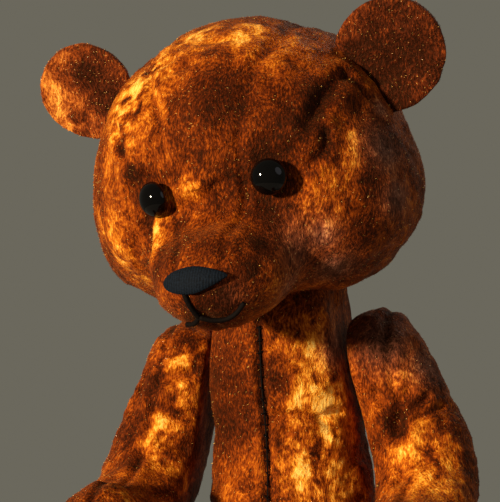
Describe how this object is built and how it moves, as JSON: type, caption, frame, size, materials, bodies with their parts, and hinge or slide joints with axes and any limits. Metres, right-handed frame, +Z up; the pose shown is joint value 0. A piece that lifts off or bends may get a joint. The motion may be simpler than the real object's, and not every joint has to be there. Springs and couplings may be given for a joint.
{
  "type": "teddy bear",
  "caption": "Small worn teddy bear in copper-brown crushed plush, sitting, with disc-jointed head, arms and legs, black button eyes and a dark cloth nose.",
  "frame": {"origin": "on the floor, under the middle of the whole sitting bear", "axes": "+Z up, the bear faces -Y, its own left side is +X"},
  "size_m": [0.1104, 0.0908, 0.1475],
  "materials": {
    "plush": "crushed copper-brown pile, worn",
    "stuffing": "loose fibre",
    "eye_glass": "polished black glass",
    "nose_cloth": "dark satin-stitched cloth",
    "thread": "waxed sewing thread",
    "hardboard": "pressed hardboard",
    "steel": "zinc plated"
  },
  "bodies": {
    "torso": {"torso_left_panel": "plush", "torso_right_panel": "plush", "torso_stuffing": "stuffing", "closing_seam_thread": "thread", "neck_disc_torso": "hardboard", "neck_washer_torso": "steel", "neck_split_pin": "steel", "shoulder_left_disc_torso": "hardboard", "shoulder_left_washer_torso": "steel", "shoulder_left_split_pin": "steel", "shoulder_right_disc_torso": "hardboard", "shoulder_right_washer_torso": "steel", "shoulder_right_split_pin": "steel", "hip_left_disc_torso": "hardboard", "hip_left_washer_torso": "steel", "hip_left_split_pin": "steel", "hip_right_disc_torso": "hardboard", "hip_right_washer_torso": "steel", "hip_right_split_pin": "steel"},
    "head": {"head_left_panel": "plush", "head_right_panel": "plush", "head_gusset": "plush", "head_stuffing": "stuffing", "nose": "nose_cloth", "mouth_thread": "thread", "neck_disc_limb": "hardboard", "neck_washer_limb": "steel", "eye_left": "eye_glass", "eye_left_loop": "steel", "ear_left_front": "plush", "ear_left_back": "plush", "eye_right": "eye_glass", "eye_right_loop": "steel", "ear_right_front": "plush", "ear_right_back": "plush"},
    "arm_left": {"arm_left_inner_panel": "plush", "arm_left_outer_panel": "plush", "arm_left_stuffing": "stuffing", "shoulder_left_disc_limb": "hardboard", "shoulder_left_washer_limb": "steel"},
    "leg_left": {"leg_left_inner_panel": "plush", "leg_left_outer_panel": "plush", "foot_left_sole": "plush", "leg_left_stuffing": "stuffing", "hip_left_disc_limb": "hardboard", "hip_left_washer_limb": "steel"},
    "arm_right": {"arm_right_inner_panel": "plush", "arm_right_outer_panel": "plush", "arm_right_stuffing": "stuffing", "shoulder_right_disc_limb": "hardboard", "shoulder_right_washer_limb": "steel"},
    "leg_right": {"leg_right_inner_panel": "plush", "leg_right_outer_panel": "plush", "foot_right_sole": "plush", "leg_right_stuffing": "stuffing", "hip_right_disc_limb": "hardboard", "hip_right_washer_limb": "steel"}
  },
  "joints": [
    {"name": "neck", "type": "hinge", "parent": "torso", "child": "head", "pos_m": [-0.00468, 0.02517, 0.0915], "axis": [-0.1633, -0.2208, 0.9616], "continuous": true},
    {"name": "shoulder_left", "type": "hinge", "parent": "torso", "child": "arm_left", "pos_m": [0.01096, 0.02517, 0.0705], "axis": [0.9781, 0, 0.2079], "range_deg": [-75, 10]},
    {"name": "shoulder_right", "type": "hinge", "parent": "torso", "child": "arm_right", "pos_m": [-0.02, 0.02517, 0.0675], "axis": [0.9962, 0, -0.0872], "range_deg": [-60, 10]},
    {"name": "hip_left", "type": "hinge", "parent": "torso", "child": "leg_left", "pos_m": [0.016, 0.02567, 0.0125], "axis": [0.9659, 0.2588, 0], "range_deg": [-10, 100]},
    {"name": "hip_right", "type": "hinge", "parent": "torso", "child": "leg_right", "pos_m": [-0.016, 0.02567, 0.0125], "axis": [0.9659, -0.2588, 0], "range_deg": [-5, 100]}
  ]
}
